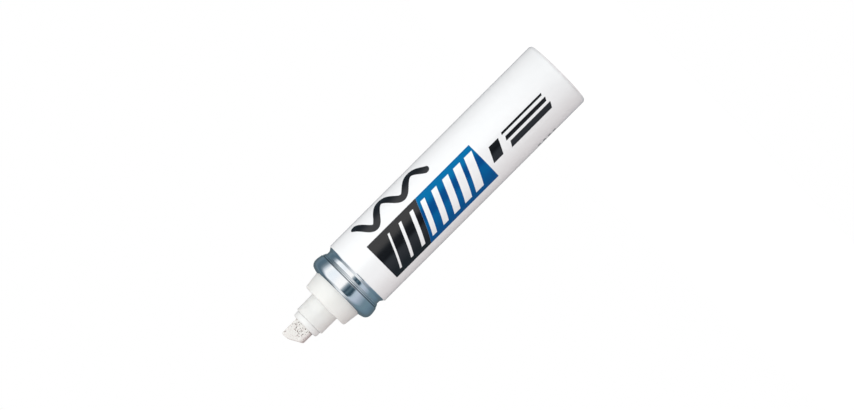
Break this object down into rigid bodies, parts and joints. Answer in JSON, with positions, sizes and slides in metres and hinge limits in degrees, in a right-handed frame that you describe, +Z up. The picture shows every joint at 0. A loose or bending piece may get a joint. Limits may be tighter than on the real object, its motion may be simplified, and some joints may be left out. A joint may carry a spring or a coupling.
{
  "type": "permanent marker",
  "caption": "Stout round marker: white can, bright crimped ring, stepped plastic head and a slanted felt nib that presses in to open a spring valve.",
  "frame": {"origin": "centre of the flat base that the marker stands on", "axes": "+Z up the axis to the nib; -Y is the side that carries the print; +X is the side of the nib's long corner"},
  "size_m": [0.0224, 0.0224, 0.1091],
  "materials": {
    "white_lacquer": "glossy white baked lacquer over aluminium, printed in black and blue",
    "bare_aluminium": "bright rolled aluminium with fine turning lines",
    "white_plastic": "satin white polypropylene",
    "pale_sleeve": "slightly translucent pale polyethylene",
    "nib_felt": "pressed off-white fibre with open pores",
    "black_rubber": "black moulded rubber",
    "valve_plastic": "natural moulded acetal",
    "spring_steel": "drawn stainless spring wire",
    "ball_steel": "polished stainless steel"
  },
  "bodies": {
    "barrel": {"barrel_can": "white_lacquer", "crimp_ring": "bare_aluminium", "crimp_gasket": "black_rubber", "nib_holder": "white_plastic", "nib_collar": "pale_sleeve", "valve_body": "valve_plastic", "valve_seal": "black_rubber", "valve_cap": "valve_plastic", "valve_spring": "spring_steel"},
    "nib": {"chisel_nib": "nib_felt"},
    "stem": {"valve_stem": "valve_plastic"},
    "ball_1": {"mixing_ball_1": "ball_steel"},
    "ball_2": {"mixing_ball_2": "ball_steel"}
  },
  "joints": [
    {"name": "nib_press", "type": "slide", "parent": "barrel", "child": "nib", "axis": [0, 0, -1], "range_m": [0, 0.002], "stiffness_N_per_m": 800},
    {"name": "valve_lift", "type": "slide", "parent": "barrel", "child": "stem", "axis": [0, 0, -1], "range_m": [0, 0.002], "deforming": ["valve_spring"]},
    {"name": "ball_1_shake", "type": "slide", "parent": "barrel", "child": "ball_1", "axis": [0, 0, 1], "range_m": [0, 0.0525]},
    {"name": "ball_2_shake", "type": "slide", "parent": "barrel", "child": "ball_2", "axis": [0, 0, 1], "range_m": [0, 0.0525]}
  ],
  "couplings": [
    {"joint": "valve_lift", "follows": "nib_press", "ratio": 1}
  ]
}
